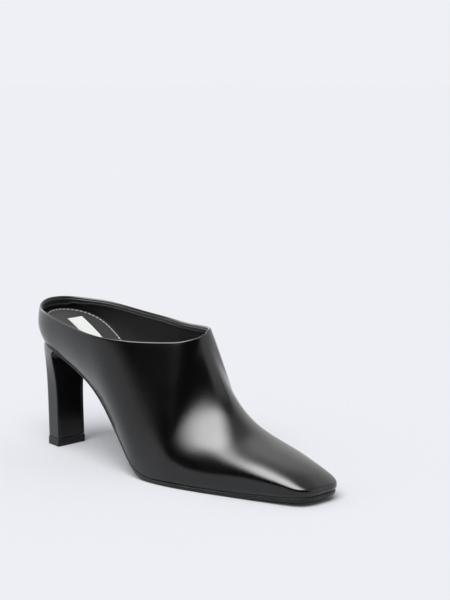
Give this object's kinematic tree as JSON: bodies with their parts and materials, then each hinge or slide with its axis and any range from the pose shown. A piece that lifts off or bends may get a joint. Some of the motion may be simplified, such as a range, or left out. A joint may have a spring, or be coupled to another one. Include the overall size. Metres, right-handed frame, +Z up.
{
  "type": "heeled mule shoe",
  "caption": "Black leather closed-toe mule with a square toe, a high cut instep, an open collar with no back strap and a tall leather-covered slab heel.",
  "frame": {"origin": "bottom centre of the bounding box: the middle of the shoe's length and width, on the floor", "axes": "+X from the heel to the toe, +Y to the medial (big toe) side, +Z up"},
  "size_m": [0.2412, 0.0761, 0.0977],
  "materials": {
    "upper_leather": "polished smooth black calf",
    "sock_leather": "matt dark grey sock with white stitching and a plain off-white label",
    "sole_leather": "black dyed sole with a waxed edge",
    "heel_cover": "polished smooth black calf, glued over the block",
    "heel_rubber": "matt black"
  },
  "bodies": {
    "root": {"upper": "upper_leather", "insole": "sock_leather", "outsole": "sole_leather", "heel": "heel_cover", "top_piece": "heel_rubber"}
  },
  "joints": []
}
